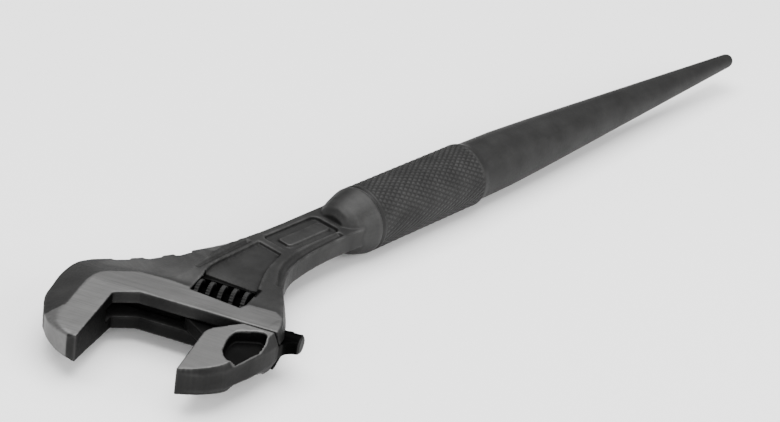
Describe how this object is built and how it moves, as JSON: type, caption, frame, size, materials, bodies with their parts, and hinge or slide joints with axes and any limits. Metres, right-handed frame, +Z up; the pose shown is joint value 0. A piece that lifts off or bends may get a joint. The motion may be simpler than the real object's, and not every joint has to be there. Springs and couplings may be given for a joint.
{
  "type": "adjustable wrench",
  "caption": "Adjustable construction wrench with a worm-driven movable jaw, an angled head and a tapered alignment-spike handle with a knurled round grip.",
  "frame": {"origin": "on the floor plane, under the centre of the wrench's box", "axes": "+X along the handle from the head to the spike tip, +Z up through the flat faces of the head, movable jaw on the -Y side"},
  "size_m": [0.4058, 0.0828, 0.0258],
  "materials": {
    "black_oxide_steel": "forged steel with a matt black-oxide coat",
    "ground_steel": "ground faces with a thin grey coat",
    "knurl_steel": "turned and black-oxide coated",
    "pin_steel": "black-oxide coated screw pin",
    "spring_steel": "bright spring wire"
  },
  "bodies": {
    "wrench_body": {"body": "black_oxide_steel", "knurl_pin": "pin_steel", "knurl_spring": "spring_steel"},
    "jaw": {"movable_jaw": "ground_steel"},
    "worm": {"knurl": "knurl_steel"}
  },
  "joints": [
    {"name": "jaw_slide", "type": "slide", "parent": "wrench_body", "child": "jaw", "axis": [0.3827, -0.9239, 0], "range_m": [-0.0357, 0.0022]},
    {"name": "knurl_spin", "type": "hinge", "parent": "wrench_body", "child": "worm", "pos_m": [-0.14395, -0.00672, 0.0129], "axis": [-0.3827, 0.9239, 0], "range_deg": [-2990, 185]}
  ],
  "couplings": [
    {"joint": "knurl_spin", "follows": "jaw_slide", "rad_per_m": 1461.2}
  ]
}
